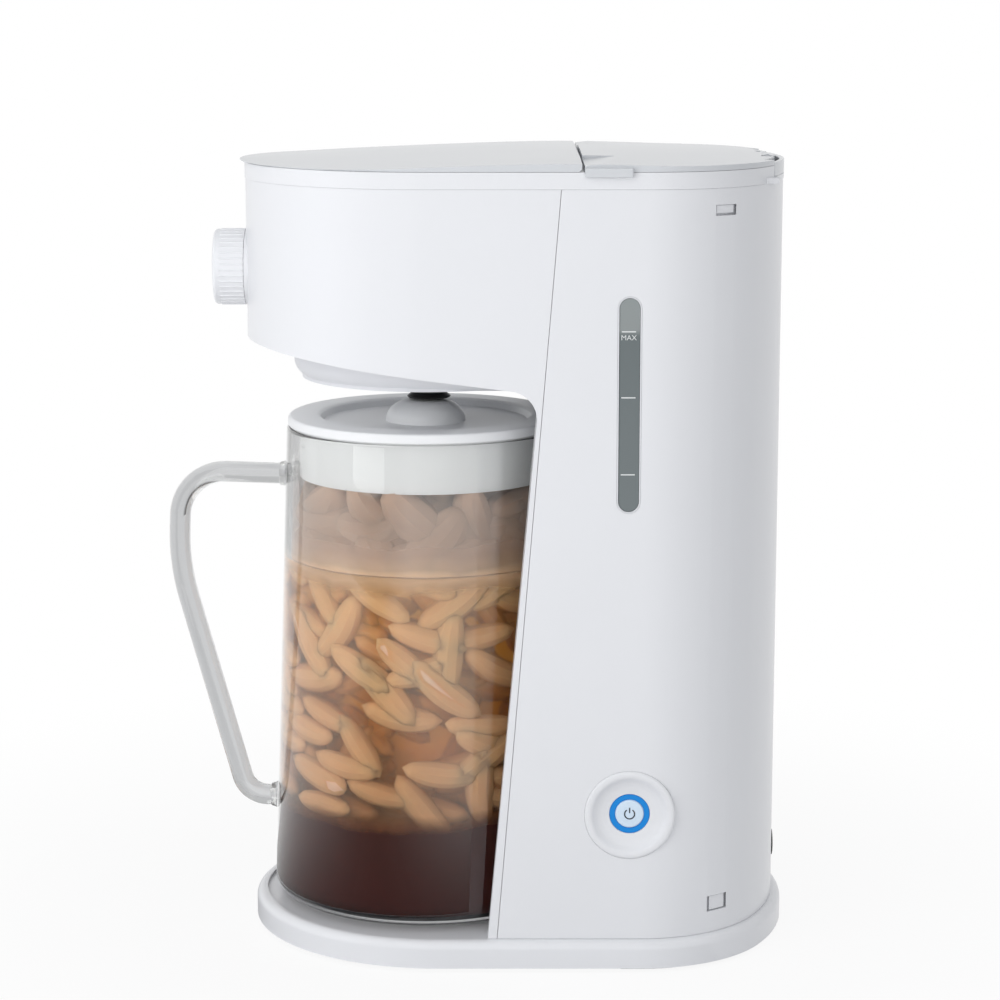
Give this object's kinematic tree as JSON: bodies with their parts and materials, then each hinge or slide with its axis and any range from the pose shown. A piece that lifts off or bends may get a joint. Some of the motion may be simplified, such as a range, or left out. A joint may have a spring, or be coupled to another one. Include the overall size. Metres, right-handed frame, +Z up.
{
  "type": "iced coffee maker",
  "caption": "Iced coffee maker: a white head with a strength dial over a clear lidded pitcher of iced coffee, and a rear column with water tank, level window and lit button.",
  "frame": {"origin": "bottom centre of the whole machine with its pitcher in place, on the surface it stands on", "axes": "+Z up; the dial, the pitcher and its handle face -Y; the level window and button face +X"},
  "size_m": [0.165, 0.2712, 0.3416],
  "materials": {
    "white_plastic": "satin",
    "lid_plastic": "satin",
    "grey_plastic": "fine matt",
    "dark_plastic": "matt",
    "blue_light": "lit, translucent",
    "clear_plastic": "clear, polished",
    "clear_glass": "clear, polished",
    "coffee": "liquid",
    "ice": "clear, wet",
    "rubber": "matt",
    "silicone": "satin",
    "steel": "brushed",
    "mesh_steel": "woven",
    "aluminium": "cast",
    "board": "printed board",
    "ink": "printed"
  },
  "bodies": {
    "machine": {"base_housing": "white_plastic", "base_screws": "steel", "board_screws": "steel", "bottom_plate": "grey_plastic", "brew_basket": "dark_plastic", "brew_lid_pin": "steel", "button_bezel": "white_plastic", "button_spring": "steel", "check_valve": "silicone", "cord_gland": "rubber", "dial_bush": "grey_plastic", "front_shell": "white_plastic", "heater_bracket": "steel", "heater_tube": "aluminium", "inlet_hose": "silicone", "level_marks": "ink", "light_ring": "blue_light", "mesh_filter": "mesh_steel", "outlet_seal": "silicone", "push_switch": "dark_plastic", "rear_casing": "white_plastic", "rear_hinge_cover": "lid_plastic", "riser_tube": "silicone", "rubber_feet": "rubber", "selector_box": "grey_plastic", "spray_head": "grey_plastic", "switch_board": "board", "tank_lid_pin": "steel", "terminal_block": "grey_plastic", "thermal_fuses": "silicone", "thermostat": "steel", "top_collar": "white_plastic", "underside_cover": "grey_plastic", "valve_seat": "silicone", "valve_spring": "steel", "water_tank": "clear_plastic", "window_frame": "grey_plastic", "window_lens": "clear_plastic"},
    "pitcher": {"pitcher_jug": "clear_glass", "pitcher_handle": "clear_glass", "handle_fittings": "clear_glass", "coffee": "coffee", "ice_cubes": "ice"},
    "pitcher_cover": {"pitcher_lid": "white_plastic", "lid_skirt": "white_plastic"},
    "dial": {"strength_dial": "white_plastic", "dial_shaft": "steel", "selector_disc": "dark_plastic"},
    "button": {"power_button": "white_plastic"},
    "valve": {"drip_valve": "dark_plastic"},
    "front_lid": {"brew_lid": "lid_plastic"},
    "rear_lid": {"tank_lid": "lid_plastic"}
  },
  "joints": [
    {"name": "pitcher_slide", "type": "slide", "parent": "machine", "child": "pitcher", "axis": [0, -1, 0], "range_m": [0, 0.25]},
    {"name": "pitcher_lid_turn", "type": "hinge", "parent": "pitcher", "child": "pitcher_cover", "pos_m": [0, -0.0225, 0.222], "axis": [0, 0, 1], "range_deg": [-60, 60]},
    {"name": "dial_turn", "type": "hinge", "parent": "machine", "child": "dial", "pos_m": [0, -0.1, 0.291], "axis": [0, -1, 0], "range_deg": [-135, 135]},
    {"name": "button_press", "type": "slide", "parent": "machine", "child": "button", "axis": [-1, 0, 0], "range_m": [0, 0.0015], "stiffness_N_per_m": 800, "springref_m": -0.001, "deforming": ["button_spring"]},
    {"name": "drip_valve_lift", "type": "slide", "parent": "machine", "child": "valve", "axis": [0, 0, 1], "range_m": [0, 0.003], "stiffness_N_per_m": 400, "springref_m": -0.002, "deforming": ["valve_spring"]},
    {"name": "brew_lid_hinge", "type": "hinge", "parent": "machine", "child": "front_lid", "pos_m": [0, 0.0413, 0.339], "axis": [-1, 0, 0], "range_deg": [0, 85]},
    {"name": "tank_lid_hinge", "type": "hinge", "parent": "machine", "child": "rear_lid", "pos_m": [0, 0.124, 0.3382], "axis": [-1, 0, 0], "range_deg": [0, 80]}
  ]
}
